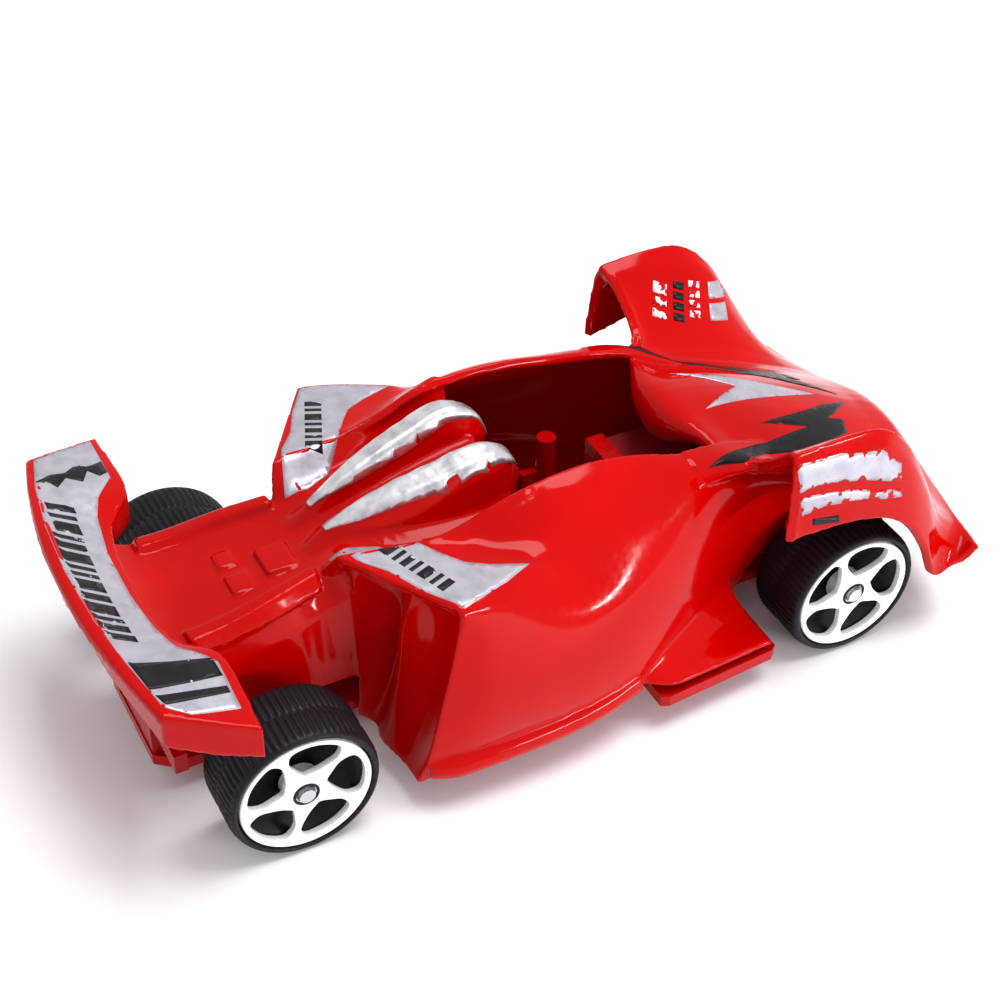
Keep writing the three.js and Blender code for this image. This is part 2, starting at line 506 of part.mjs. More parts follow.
function addWheels(axle, y) {
  for (const [side, x, turn] of [["left", HALF_TRACK, 0], ["right", -HALF_TRACK, Math.PI]]) {
    const wheel = new THREE.Group();
    wheel.position.set(x, y, AXLE_Z);
    wheel.rotation.z = turn;
    wheel.add(part(`tyre_${axle}_${side}`, tyre(), COLOURS.tyre));
    wheel.add(part(`wheel_face_${axle}_${side}`, wheelFace(), COLOURS.face));
    car.add(wheel);
  }
  const reach = HALF_TRACK + 0.2;
  car.add(part(`${axle}_axle`, rodX(AXLE_RADIUS, -reach, reach, y, AXLE_Z), COLOURS.steel));
}

function addMotor(motor) {
  car.add(part("motor_case_left", motorHalf(motor, 1), COLOURS.motor));
  car.add(part("motor_case_right", motorHalf(motor, -1), COLOURS.motor));
  car.add(part("axle_gear", axleGear(motor), COLOURS.gear));
  car.add(part("idler_gear", idlerGear(motor), COLOURS.gear));
  car.add(part("spring_gear", springGear(motor), COLOURS.gear));
  car.add(part("mainspring", mainspring(motor), COLOURS.spring));
  const reach = MOTOR_HALF_WIDTH - MOTOR_WALL - CLEARANCE;
  const pin = rodX(0.9, -reach, reach, motor.idler.y, motor.idler.z, 16);
  car.add(part("idler_pin", pin, COLOURS.steel));
}

const motor = motorLayout();
car.add(part("body_shell", bodyShell(), COLOURS.shell));
car.add(part("chassis_plate", chassisPlate(motor), COLOURS.plate));
FIXINGS.forEach(([x, y], i) => car.add(part(`chassis_screw_${i + 1}`, chassisScrew(x, y), COLOURS.screw)));
addWheels("front", 0);
addWheels("rear", WHEELBASE);
addMotor(motor);

export default car;
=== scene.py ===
import json
import math

import bmesh
import bpy
import numpy as np
from mathutils import Matrix, Vector
from mathutils.bvhtree import BVHTree
from mathutils.geometry import delaunay_2d_cdt

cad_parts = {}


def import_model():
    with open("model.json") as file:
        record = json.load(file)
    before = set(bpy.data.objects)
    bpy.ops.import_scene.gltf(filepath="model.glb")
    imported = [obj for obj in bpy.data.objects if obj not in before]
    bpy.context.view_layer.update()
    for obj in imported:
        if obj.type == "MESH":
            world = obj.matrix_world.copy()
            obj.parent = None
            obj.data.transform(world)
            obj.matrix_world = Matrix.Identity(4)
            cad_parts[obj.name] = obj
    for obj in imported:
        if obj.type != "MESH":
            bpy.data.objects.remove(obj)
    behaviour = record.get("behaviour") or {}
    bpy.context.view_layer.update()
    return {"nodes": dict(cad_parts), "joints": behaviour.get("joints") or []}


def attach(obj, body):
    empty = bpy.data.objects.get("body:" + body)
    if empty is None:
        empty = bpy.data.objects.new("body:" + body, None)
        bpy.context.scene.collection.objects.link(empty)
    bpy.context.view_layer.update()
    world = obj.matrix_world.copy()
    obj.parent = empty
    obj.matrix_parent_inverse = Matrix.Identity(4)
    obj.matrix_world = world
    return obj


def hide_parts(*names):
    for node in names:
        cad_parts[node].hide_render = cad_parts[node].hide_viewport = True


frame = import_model()
scene = bpy.context.scene

# Stations are in millimetres from the front axle, nose towards -Y, the car's left towards +X.
MM = 0.001
FRONT_AXLE = min(joint["pos_m"][1] for joint in frame["joints"]) / MM
REAR_AXLE = 93.8  # from the front axle
AXLE_Z = 11.6
HALF_TRACK = 30.3  # to the outer face of a wheel
SHELL = 1.5  # wall of the body shell
TRIM = 1.2  # wall of the nose ridges and the shoulder webs
SKIRT_WALL = 1.1


def to_frame(p):
    """A point given in millimetres from the front axle, in metres in the frame."""
    return Vector((p[0] * MM, (p[1] + FRONT_AXLE) * MM, p[2] * MM))


# ---- body shell stations: half sections, from the middle or the inner edge outwards --------------

WING_FRONT = [
    [0, -22.6, 36.6], [8, -22.35, 36.5], [16, -21.5, 36.4], [23, -20.4, 36.2], [29.6, -18.8, 35.6],
]
WING_REAR = [[0, -12.4, 32], [8, -12.2, 32], [14, -10.8, 32.3], [19.1, -6.9, 33], [34.6, -6.8, 32.5]]
WING_EDGE = [
    [-1, -22.6, 36.6], [16, -21.5, 36.4], [29.6, -18.8, 35.6], [32.2, -12.8, 34.1], [34.6, -6.8, 32.5],
    [19.1, -6.9, 33], [14, -10.8, 32.3],
]
LIP_DROP = [4.4, 4.7, 6, 6.4, 5.6, 6, 4]  # depth of the wing's lip below each point of its edge
NOSE = [
    [[0, -15, 31.6], [8, -15, 31.4], [13, -14, 30.8], [15.5, -13, 27], [16, -12.5, 21]],
    [[0, -10, 29.2], [8, -10, 29.1], [12.4, -9.5, 28.8], [14, -9, 24], [14.5, -8.5, 16]],
    [[0, -4, 28.9], [8, -4, 28.9], [12, -4, 28.8], [13.4, -4, 24], [14, -4, 14]],
    [[0, 5, 30], [7, 5, 30.2], [11.1, 5, 30.4], [12.8, 5, 25], [13.2, 5, 13]],
    [[0, 12, 31], [5, 12, 31.2], [9.3, 12, 31.6], [12, 12, 27], [13, 12, 13]],
    [[0, 17, 32.4], [6, 17, 33], [11, 15.5, 34.4], [12.6, 16.5, 28], [13.2, 17, 13]],
]
COWL = [
    [[0, 12, 31], [1.5, 12, 31], [2.2, 12, 31.2], [3.5, 12, 31.2],
     [5, 12, 31.1], [7.5, 12, 31.2], [9.5, 12, 31.6]],
    [[0, 16.5, 32.3], [1.2, 16.5, 32.6], [2.4, 16.3, 34.8], [3.6, 16.3, 34.8],
     [5.5, 16.5, 32.8], [8.5, 15.5, 33], [11.9, 14, 36.3]],
    [[0, 24, 34.5], [1.6, 24, 34.6], [3, 24, 38.6], [6, 24, 38],
     [8, 24, 34], [10.5, 24, 33], [13.8, 24, 36.1]],
    [[0, 32, 36], [2.2, 32, 36.4], [3.9, 32, 41.2], [7.6, 32, 40.4],
     [9.6, 32, 34.5], [12, 32, 33.5], [15, 32, 37.4]],
    [[0, 39, 37], [2.6, 39, 37.6], [4.5, 39, 42.9], [8, 39, 42.2],
     [9.8, 39, 35], [12.3, 39, 33.5], [15.1, 39, 40]],
    [[0, 42, 37], [2.6, 42.5, 37.4], [4.2, 43.8, 40.6], [7, 43.8, 40.2],
     [9, 42.5, 35], [12.2, 42, 33.5], [14.9, 43, 40.8]],
    [[0, 42.6, 33], [2.6, 43.2, 33.5], [4, 45.8, 36.3], [6.6, 45.8, 36],
     [8.6, 43.2, 32], [12.2, 43, 30.5], [14.7, 44, 34]],
]
SIDE_POD = [
    [[11.5, 13.3, 36.5], [14, 15, 36.4], [19, 18.2, 36.2], [24, 21.5, 35.9], [29.1, 24.7, 35.4],
     [29.8, 23.3, 29], [30.4, 21, 20], [30.6, 18.6, 10], [29.8, 17.2, 5]],
    [[13.8, 26, 36.3], [15.5, 26, 36], [20, 27, 35.8], [25, 28, 35.6], [28.3, 28.5, 35.3],
     [30.8, 28, 29], [32.3, 27, 19.5], [31.8, 26, 9.5], [29.6, 26, 5]],
    [[14.7, 32, 37.6], [16, 32.3, 36.2], [18.5, 32.8, 35.5], [23, 33, 35.2], [26.5, 33.5, 35],
     [30.2, 33.5, 29], [32.6, 33, 19.5], [31.9, 33, 9.5], [29.3, 33, 5]],
    [[14.9, 38, 40], [16.8, 38.2, 38], [20, 38.3, 35.6], [22.5, 38.5, 34.9], [24.6, 38.8, 34.3],
     [29.5, 39, 27.5], [32.2, 39.5, 18.5], [31.8, 40, 9.3], [29.1, 40, 5]],
    [[14.5, 45, 41.2], [16.6, 45, 39.8], [19.5, 45, 37.2], [22.5, 45, 34.3], [25.2, 45, 31],
     [29, 46, 25.5], [31.4, 47, 17.5], [31.2, 47, 9], [28.6, 47, 5]],
    [[14, 53, 41.2], [16.2, 53, 40], [19, 53, 37.6], [21.7, 53, 34.8], [24.2, 53.5, 31.3],
     [27.4, 54.5, 25.5], [29.6, 55, 17.5], [29.8, 55.5, 10], [28, 56, 7.6]],
    [[13.9, 61, 39.8], [16, 61, 38.8], [18.5, 61, 36.8], [20.8, 61.5, 34.2], [22.8, 62, 31],
     [25, 63, 25.5], [26.5, 63.5, 17.5], [26.2, 64, 11], [24.8, 64.5, 7.6]],
    [[14.4, 68, 37.9], [16.2, 68.3, 37.4], [18, 68.6, 36.2], [19.6, 69, 34.2], [21, 69.5, 31],
     [22.2, 70.5, 25.5], [22.8, 71, 17.5], [22.3, 71.5, 11], [21.3, 72, 7.6]],
    [[14.6, 73, 36.6], [16.2, 73.4, 36], [17.6, 73.9, 34.8], [18.7, 74.5, 33], [19.5, 75.2, 30.2],
     [19.8, 76.2, 25.5], [19.6, 77.2, 17.5], [19, 77.8, 11], [18.4, 78.2, 7.6]],
    [[15.2, 79, 33.3], [16, 79.3, 32.8], [16.8, 79.6, 32.1], [17.5, 80, 31], [18, 80.5, 29.2],
     [18.1, 81.5, 25], [18, 82.5, 18.5], [17.9, 83, 14.8], [17.8, 83.4, 13.8]],
    [[15.2, 92, 28], [15.8, 92, 27.7], [16.4, 92, 27.2], [16.9, 92, 26.6], [17.3, 92, 25.6],
     [17.5, 92, 23], [17.6, 92, 18.5], [17.6, 92, 15], [17.6, 92, 14]],
]
POD_FRONT = [
    [[12.3, 15, 34.2], [12.6, 15.6, 28], [13, 15.8, 20], [13.2, 15.4, 10], [13.2, 15, 5]],
    [[18, 19.5, 35.2], [17.5, 21.5, 29], [17, 21, 20], [16.5, 18.6, 10], [16.2, 16.6, 5]],
    [[21.5, 21.5, 35.1], [20.6, 19.5, 29], [20, 18.6, 20], [19.6, 17.2, 10], [19.4, 16, 5]],
    [[25, 23.5, 34.9], [25.6, 23.6, 29], [25.8, 21.8, 20], [25.6, 19, 10], [25.2, 17, 5]],
    [[29.1, 24.7, 35.4], [29.8, 23.3, 29], [30.4, 21, 20], [30.6, 18.6, 10], [29.8, 17.2, 5]],
]
REAR_DECK = [
    [[0, 72.4, 30.2], [4.5, 73, 31.4], [9, 75.4, 33], [13, 77.4, 33], [17.5, 80.6, 32.6],
     [22.3, 81.2, 36.2], [27, 79.8, 40.6], [29, 79, 35], [29.6, 78.6, 29]],
    [[0, 71, 33.6], [4.7, 71.8, 34.4], [9.5, 74.2, 34.9], [14.5, 77, 33.6], [18.6, 80.2, 34],
     [23.2, 80.1, 38.4], [28, 78.8, 42.6], [29.9, 78.1, 35.4], [30.5, 77.8, 28.7]],
    [[0, 73, 37.4], [5, 73.6, 37], [10, 75.4, 36.2], [15.3, 77.6, 34.1], [19.2, 80.4, 35.3],
     [23.8, 80, 39.4], [28.3, 78.7, 43.4], [30, 78.4, 35.8], [30.6, 78, 28.8]],
    [[0, 80, 36.9], [5, 80, 36.2], [10, 80.5, 34.2], [15.3, 82, 32.2], [19.6, 83.4, 34.6],
     [24, 83.6, 39.4], [28.5, 83.6, 43.9], [30.6, 83.4, 36], [31.4, 83.2, 29.4]],
    [[0, 88, 34.5], [5, 88, 33.8], [10, 88, 31.9], [15.4, 88.4, 29.9], [19.6, 88.6, 33.8],
     [24, 88.6, 38.9], [28.6, 88.6, 44.1], [30.9, 88.4, 36], [32.2, 88.4, 30]],
    [[0, 95, 31.7], [5, 95, 31], [10, 95, 29.2], [15.4, 95, 27.5], [19.6, 95, 31.9],
     [24, 95, 37.4], [28.4, 95, 43], [31, 95, 35.2], [32.6, 95, 28.6]],
    [[0, 101, 29.1], [5, 101, 28.5], [10, 101, 26.9], [15.4, 101, 25.3], [19.6, 100.8, 29],
     [23.8, 100.6, 33.8], [28, 100.4, 38.4], [31, 100.2, 31.6], [32.9, 100, 25.2]],
    [[0, 107, 26.5], [5, 107, 25.9], [10, 107, 24.4], [15.4, 106.8, 22.9], [19.6, 106.4, 25],
     [23.8, 106, 27.8], [27.8, 105.6, 29.8], [31, 105, 25], [33, 104.6, 18.6]],
    [[0, 113, 23.6], [5, 113, 23.1], [10, 112.8, 21.8], [15.4, 112.4, 20.3], [19.6, 111.8, 20.6],
     [23.8, 111, 21], [27.8, 110.2, 20.8], [31, 109.2, 17.4], [32.8, 108.2, 11.8]],
    [[0, 118.6, 20.8], [5, 118.5, 20.3], [10, 118, 19.1], [15.4, 117.2, 17.8], [19.6, 116.4, 17.3],
     [23.8, 115.4, 17], [27.8, 114.4, 16.8], [31, 113, 15.6], [33, 111.4, 14.2]],
    [[0, 120.6, 17.8], [5, 120.4, 17.4], [10, 119.9, 16.8], [15.4, 119, 16.2], [19.6, 118.2, 16],
     [23.8, 117.2, 16], [27.8, 116.2, 16.2], [31, 115.2, 16.6], [33.2, 113.8, 17.2]],
]
REAR_VALANCE = [
    [[0, 119.8, 17.6], [8, 119.4, 17], [15, 118.4, 16.4], [25, 116.2, 16], [30, 114.8, 16]],
    [[0, 121, 9.5], [8, 120.6, 9.5], [15, 119.8, 9.5], [25, 117.8, 10], [29, 116.4, 11]],
]
SKIRT = [
    [[28.4, 53, 13.5], [29.6, 54, 10.6], [30, 54.6, 8.9]],
    [[27, 57, 16], [29.8, 58.4, 11], [32.4, 59, 8.9]],
    [[24.8, 63, 16], [28.4, 64.4, 11], [32.2, 65, 8.9]],
    [[22, 70, 15], [26.4, 71, 10.6], [31.6, 71.6, 8.9]],
    [[19.2, 76.4, 13.5], [24.6, 77.4, 10], [31, 78, 8.9]],
]

# Raised moulding on the nose: a ridge on each side of the middle channel, and the steps in the channel.
NOSE_RIDGE = [
    [[8.9, -9.2, 28.2], [9.9, -9, 29.9], [12.2, -8.8, 29.8], [13.4, -8.6, 27.8]],
    [[8.6, -4, 28.2], [9.6, -4, 30.2], [11.9, -4, 30.1], [13.1, -4, 27.8]],
    [[8, 4, 29.2], [9, 4, 31.6], [11.1, 4, 31.5], [12.4, 4, 28.9]],
    [[6.9, 11.4, 30.2], [7.9, 11.4, 32.7], [9.8, 11.4, 32.7], [11.4, 11.4, 30.4]],
]
# Each step: its right front corner in x and y, its width, its rise, and the height that it rises from.
NOSE_STEPS = [(1.8, 0.0, 4.2, 0.8, 29.3), (-3.4, 0.0, 3.2, 0.7, 29.3), (-0.6, 5.6, 5.8, 1.0, 30.2)]
STEP_DEPTH = 0.8  # a step's length along the car, as a share of its width
STEP_WALL = 1.6

# Web that carries the side pod's shoulder over into the rear deck.
SHOULDER = [
    [[14.2, 69, 37.9], [17.2, 69.5, 37], [19.6, 70, 34.6]],
    [[13.4, 75, 36.7], [16.4, 75.5, 36], [18.8, 76.2, 33.8]],
    [[12.2, 80, 34.9], [15.4, 80.6, 33.9], [18.2, 81.4, 33]],
    [[11.4, 87, 31.6], [14.8, 87.4, 30], [17.8, 87.8, 30.8]],
]
# Line of the rounded roll along the pod's foot.
SILL = [
    [29.2, 19.6, 7.6], [30.6, 22.8, 7.7], [31, 27, 7.9], [31.1, 34, 8.1], [31, 41, 8.4],
    [30.4, 47.5, 8.9], [29.2, 54, 10],
]
SILL_RADIUS = 2.4


# ---- mesh helpers ---------------------------------------------------------------------------------

def add_object(name, mesh, smooth=True):
    obj = bpy.data.objects.new(name, mesh)
    scene.collection.objects.link(obj)
    if smooth:
        mesh.polygons.foreach_set("use_smooth", [True] * len(mesh.polygons))
    return obj


def mesh_from(name, verts, faces):
    mesh = bpy.data.meshes.new(name)
    mesh.from_pydata([tuple(v) for v in verts], [], faces)
    mesh.update()
    return mesh


def apply_modifiers(obj):
    depsgraph = bpy.context.evaluated_depsgraph_get()
    made = bpy.data.meshes.new_from_object(obj.evaluated_get(depsgraph))
    obj.modifiers.clear()
    old = obj.data
    obj.data = made
    bpy.data.meshes.remove(old)
    made.name = obj.name


def place(obj, body, node=None):
    """Tie a piece to its body, and hide the CAD node that it stands for, if one is given."""
    if node:
        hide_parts(node)
    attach(obj, body)


def catmull(points, steps):
    """A centripetal Catmull-Rom curve through the points, with `steps` pieces between neighbours."""
    p = [np.array(q, float) for q in points]
    p = [2 * p[0] - p[1]] + p + [2 * p[-1] - p[-2]]
    out = []
    for i in range(1, len(p) - 2):
        p0, p1, p2, p3 = p[i - 1], p[i], p[i + 1], p[i + 2]
        t0 = 0.0
        t1 = t0 + max(np.linalg.norm(p1 - p0), 1e-6) ** 0.5
        t2 = t1 + max(np.linalg.norm(p2 - p1), 1e-6) ** 0.5
        t3 = t2 + max(np.linalg.norm(p3 - p2), 1e-6) ** 0.5
        for k in range(steps):
            t = t1 + (t2 - t1) * k / steps
            a1 = p0 * (t1 - t) / (t1 - t0) + p1 * (t - t0) / (t1 - t0)
            a2 = p1 * (t2 - t) / (t2 - t1) + p2 * (t - t1) / (t2 - t1)
            a3 = p2 * (t3 - t) / (t3 - t2) + p3 * (t - t2) / (t3 - t2)
            b1 = a1 * (t2 - t) / (t2 - t0) + a2 * (t - t0) / (t2 - t0)
            b2 = a2 * (t3 - t) / (t3 - t1) + a3 * (t - t1) / (t3 - t1)
            out.append(b1 * (t2 - t) / (t2 - t1) + b2 * (t - t1) / (t2 - t1))
    out.append(p[-2])
    return out


def wall(rows, across=5, along=5, thickness=SHELL):
    """Vertices and faces of a closed wall behind the surface through rows of points.

    `across` and `along` say how many pieces lie between neighbouring points of a row and of a column.
    """
    fine = [catmull(row, across) if across > 1 else [np.array(q, float) for q in row] for row in rows]
    columns = []
    for c in range(len(fine[0])):
        line = [row[c] for row in fine]
        columns.append(catmull(line, along) if along > 1 else line)
    grid = np.array(columns).transpose(1, 0, 2)
    nr, nc = grid.shape[:2]
    u = np.gradient(grid, axis=1)
    v = np.gradient(grid, axis=0)
    n = np.cross(u, v)
    n /= np.maximum(np.linalg.norm(n, axis=2, keepdims=True), 1e-9)
    verts = np.concatenate([grid.reshape(-1, 3), (grid - n * thickness).reshape(-1, 3)])
    faces = []
    half = nr * nc

    def vid(side, r, c):
        return side * half + r * nc + c

    for r in range(nr - 1):
        for c in range(nc - 1):
            faces.append((vid(0, r, c), vid(0, r, c + 1), vid(0, r + 1, c + 1), vid(0, r + 1, c)))
            faces.append((vid(1, r, c), vid(1, r + 1, c), vid(1, r + 1, c + 1), vid(1, r, c + 1)))
    for c in range(nc - 1):
        faces.append((vid(1, 0, c), vid(1, 0, c + 1), vid(0, 0, c + 1), vid(0, 0, c)))
        faces.append((vid(0, nr - 1, c), vid(0, nr - 1, c + 1), vid(1, nr - 1, c + 1), vid(1, nr - 1, c)))
    for r in range(nr - 1):
        faces.append((vid(0, r, 0), vid(0, r + 1, 0), vid(1, r + 1, 0), vid(1, r, 0)))
        faces.append((vid(1, r, nc - 1), vid(1, r + 1, nc - 1), vid(0, r + 1, nc - 1), vid(0, r, nc - 1)))
    return verts, faces


def rod(points, radius, sides=14):
    """A closed round rod along a smooth line."""
    line = catmull(points, 6)
    verts, faces = [], []
    for i, p in enumerate(line):
        ahead = Vector(line[min(i + 1, len(line) - 1)] - line[max(i - 1, 0)]).normalized()
        u = ahead.cross(Vector((0, 0, 1))).normalized()
        v = ahead.cross(u)
        for k in range(sides):
            angle = 2 * math.pi * k / sides
            verts.append(Vector(p) + radius * (u * math.cos(angle) + v * math.sin(angle)))
    for i in range(len(line) - 1):
        for k in range(sides):
            a, b = i * sides + k, i * sides + (k + 1) % sides
            faces.append((a, b, b + sides, a + sides))
    faces.append(tuple(reversed(range(sides))))
    faces.append(tuple(len(verts) - sides + k for k in range(sides)))
    return verts, faces


def flip(p):
    return [-p[0], p[1], p[2]]


def full_width(rows):
    return [[flip(p) for p in row[:0:-1]] + list(row) for row in rows]


def both_sides(rows):
    return [rows, [[flip(p) for p in reversed(row)] for row in rows]]


# ---- body shell -----------------------------------------------------------------------------------

VOXEL = 0.3 * MM
RELAX = 9  # rounds of smoothing after the walls are fused


def shell_walls():
    lower = [[x, y, z - drop] for (x, y, z), drop in zip(WING_EDGE, LIP_DROP)]
    walls = [wall(full_width([WING_FRONT, WING_REAR]), 5, 1)]
    walls += [wall(rows, 1, 1) for rows in both_sides([lower, WING_EDGE])]
    walls.append(wall(full_width(NOSE), 1, 4))
    walls.append(wall(full_width(COWL), 1, 5))
    walls += [wall(rows, 6, 6) for rows in both_sides(SIDE_POD)]
    walls += [wall(rows, 6, 5) for rows in both_sides(POD_FRONT)]
    walls.append(wall(full_width(REAR_DECK), 2, 6))
    walls.append(wall(full_width(REAR_VALANCE), 6, 1))
    walls += [wall(rows, 3, 4, SKIRT_WALL) for rows in both_sides(SKIRT)]
    walls += [wall(rows, 1, 4, TRIM) for rows in both_sides(NOSE_RIDGE)]
    walls += [wall(rows, 4, 4, TRIM) for rows in both_sides(SHOULDER)]
    walls += [rod(line, SILL_RADIUS) for line in (SILL, [flip(p) for p in SILL])]
    for x, y, width, rise, z in NOSE_STEPS:
        ends = (y, y + width * STEP_DEPTH)
        rows = [[[x, end, z + rise], [x + width, end, z + rise]] for end in ends]
        walls.append(wall(rows, 1, 1, STEP_WALL))
    return walls


def fused(name, walls, voxel, relax):
    """Several overlapping closed walls grown together into one smooth moulding."""
    verts, faces = [], []
    for points, quads in walls:
        start = len(verts)
        verts += [to_frame(p) for p in points]
        faces += [tuple(start + i for i in quad) for quad in quads]
    obj = add_object(name, mesh_from(name, verts, faces))
    remesh = obj.modifiers.new("fuse", "REMESH")
    remesh.mode = "VOXEL"
    remesh.voxel_size = voxel
    smooth = obj.modifiers.new("relax", "SMOOTH")
    smooth.factor = 0.5
    smooth.iterations = relax
    apply_modifiers(obj)
    obj.data.polygons.foreach_set("use_smooth", [True] * len(obj.data.polygons))
    return obj


# ---- printed foil and ink: thin closed sheets laid on the moulding --------------------------------

# A view says how an outline's two numbers lie in the car, and which way the print is pressed on.
VIEWS = {
    "top": {"lift": lambda u, v: (u, v, 80), "press": (0, 0, -1)},
    "left": {"lift": lambda u, v: (60, u, v), "press": (-1, 0, 0)},
    "right": {"lift": lambda u, v: (-60, u, v), "press": (1, 0, 0)},
    "inner_right": {"lift": lambda u, v: (-8, u, v), "press": (-1, 0, 0)},
    "inner_left": {"lift": lambda u, v: (8, u, v), "press": (1, 0, 0)},
}
OTHER_SIDE = {"top": "top", "left": "right", "inner_right": "inner_left"}
UNDER = 0.12  # depth of a print's back below the moulding's surface
EDGE_WIDTH = 1.6  # distance from a print's edge over which it wears
OVER_FOIL = 0.09  # rise of ink that lies on foil


def spread(outline, step):
    """The outline with extra points, so that none lie further apart than step."""
    out = []
    for a, b in zip(outline, outline[1:] + outline[:1]):
        count = max(1, math.ceil(math.dist(a, b) / step))
        dx, dy = b[0] - a[0], b[1] - a[1]
        out += [(a[0] + dx * k / count, a[1] + dy * k / count) for k in range(count)]
    return out


def edge_distance(point, outline):
    """How far a point lies from the nearest side of a closed outline."""
    p = np.array(point)
    a = np.array(outline)
    b = np.roll(a, -1, axis=0)
    d = b - a
    t = np.clip(((p - a) * d).sum(1) / np.maximum((d ** 2).sum(1), 1e-9), 0, 1)
    return float(np.linalg.norm(a + d * t[:, None] - p, axis=1).min())


def is_inside(point, outline):
    """Whether a point lies inside a closed outline."""
    x, y = point
    hit = False
    for (x0, y0), (x1, y1) in zip(outline, outline[1:] + outline[:1]):
        if (y0 > y) != (y1 > y) and x < (x1 - x0) * (y - y0) / (y1 - y0) + x0:
            hit = not hit
    return hit


def print_sheet(name, outline, view, surface, look, slot, rise=0.05, step=0.8):
    """A closed sheet of the outline's shape, pressed onto the surface and `rise` mm proud of it."""
    rim = spread(outline, step)
    low = np.min(rim, axis=0)
    high = np.max(rim, axis=0)
    inner = []
    for u in np.arange(low[0] + step / 2, high[0], step):
        for v in np.arange(low[1] + step / 2, high[1], step):
            if is_inside((u, v), outline) and edge_distance((u, v), outline) > 0.35 * step:
                inner.append((u, v))
    points = [Vector(p) for p in rim + inner]
    flat, _, triangles, _, _, _ = delaunay_2d_cdt(points, [], [list(range(len(rim)))], 1, 1e-6)
    lift = VIEWS[view]["lift"]
    press = Vector(VIEWS[view]["press"])
    top, under, near = [], [], []
    for p in flat:
        hit, normal, _, _ = surface.ray_cast(to_frame(lift(p.x, p.y)), press)
        if hit is None:
            top.append(None)
            under.append(None)
        else:
            top.append(hit + normal * rise * MM)
            under.append(hit - normal * UNDER * MM)
        near.append(min(edge_distance((p.x, p.y), outline) / EDGE_WIDTH, 1))
    limit = 4 * step * MM  # a longer side would bridge a step or a gap in the moulding
    mesh = bmesh.new()
    wear = mesh.verts.layers.float.new("from_edge")
    made = [(mesh.verts.new(a), mesh.verts.new(b)) if a else None for a, b in zip(top, under)]
    for pair, value in zip(made, near):
        if pair:
            pair[0][wear] = value
            pair[1][wear] = value
    for t in triangles:
        if any(made[i] is None for i in t):
            continue
        a, b, c = (top[i] for i in t)
        if max((a - b).length, (b - c).length, (c - a).length) > limit:
            continue
        turn = (b - a).cross(c - a).dot(press)
        order = t if turn < 0 else t[::-1]
        mesh.faces.new([made[i][0] for i in order])
        mesh.faces.new([made[i][1] for i in reversed(order)])
    lower = {pair[0]: pair[1] for pair in made if pair}
    for edge in [e for e in mesh.edges if len(e.link_faces) == 1]:
        loop = edge.link_loops[0]
        start, end = loop.vert, loop.link_loop_next.vert
        if start in lower and end in lower:
            mesh.faces.new((end, start, lower[start], lower[end]))
    bmesh.ops.delete(mesh, geom=[v for v in mesh.verts if not v.link_faces], context="VERTS")
    data = bpy.data.meshes.new(name)
    mesh.to_mesh(data)
    mesh.free()
    obj = add_object(name, data)
    data.materials.append(look)
    place(obj, "car")


def mirrored(outline, view):
    return [(-u, v) for u, v in outline][::-1] if view == "top" else outline


def print_pair(name, outline, view, surface, look, slot, **options):
    print_sheet(name + "_left", outline, view, surface, look, slot, **options)
    opposite = mirrored(outline, view)
    print_sheet(name + "_right", opposite, OTHER_SIDE[view], surface, look, slot, **options)


# Outlines of the prints, as their view sees them, in millimetres.
WING_FOIL = [
    (-29, -17.8), (-31.5, -12.8), (-33.4, -8), (-22.8, -8.2), (-18.6, -11.4), (-15, -12.8),
    (-7.2, -13.9), (2.4, -13.9), (10.1, -13.1), (16, -11.8), (19.6, -8.9), (21, -7.9), (30.4, -8.2),
    (30.2, -14.8), (28, -17.9), (19.1, -19.6), (9.4, -20.9), (-2.2, -21.4), (-12.6, -20.9),
    (-22, -19.6),
]
WING_STRIPE = [(18.7, -19.4), (19.6, -14), (20.2, -8.4), (24, -8.3), (24.4, -13), (24.6, -18.5)]
WING_LINE = [(25.8, -18.1), (26, -8.5), (27.3, -8.5), (27.7, -17.5)]
WING_FLAME = [
    (-23.3, -19.2), (-24.9, -16.6), (-25, -14.4), (-26.9, -12.2), (-26.4, -10), (-27.3, -8.2),
    (-24.2, -8.2), (-23.4, -9.6), (-25, -11), (-22.4, -12.4), (-23.7, -14.6), (-21.6, -16.4),
    (-22.9, -17.2),
]
FLARE_FOIL = [
    (7.9, 13.7), (7.4, 17.2), (9.2, 21.2), (13.9, 25.2), (17.4, 27.5), (20, 29.5), (21.8, 32.8),
    (23.7, 38.1), (26, 33.4), (27.6, 28.8), (28.7, 25.3), (26.8, 24), (22.9, 21.4), (17.7, 18.9),
    (14.2, 16),
]
RIB_FOIL = [
    (2.4, 15.4), (2.2, 20), (2.3, 24), (2.7, 29), (3.1, 33), (3.8, 38.5), (3.9, 43), (4, 45.4),
    (6.4, 45.4), (7.3, 43.6), (8.5, 39), (8.4, 33), (7.5, 28.5), (6.5, 24), (5.3, 20), (3.5, 15.4),
]
DECK_ARROW = [(0, 104.6), (2.6, 92.4), (5.3, 79), (0, 88.4), (-5.3, 79), (-2.6, 92.4)]
DECK_BOLT = [
    (17.7, 71.8), (12.5, 84.2), (8.3, 97.5), (8.2, 88), (5.1, 98.7), (3.1, 103.9), (1.2, 110.6),
    (4.9, 105.4), (6.1, 103.2), (6.1, 106.3), (9, 105.2), (11.7, 98.3), (13.3, 91.2), (14, 85.1),
    (17.2, 78.9),
]
FENDER_PANEL = [
    (79, 42), (86.5, 42), (90.5, 41), (94, 40.4), (98, 36.8), (98, 33.8), (91, 36.4), (84.8, 37.8),
    (79.5, 37.4),
]
FENDER_STRIPE = [
    (79.6, 36.6), (87.9, 35.8), (98.4, 32.4), (98, 31.2), (89.3, 33.6), (83.8, 34), (80.2, 33.1),
]
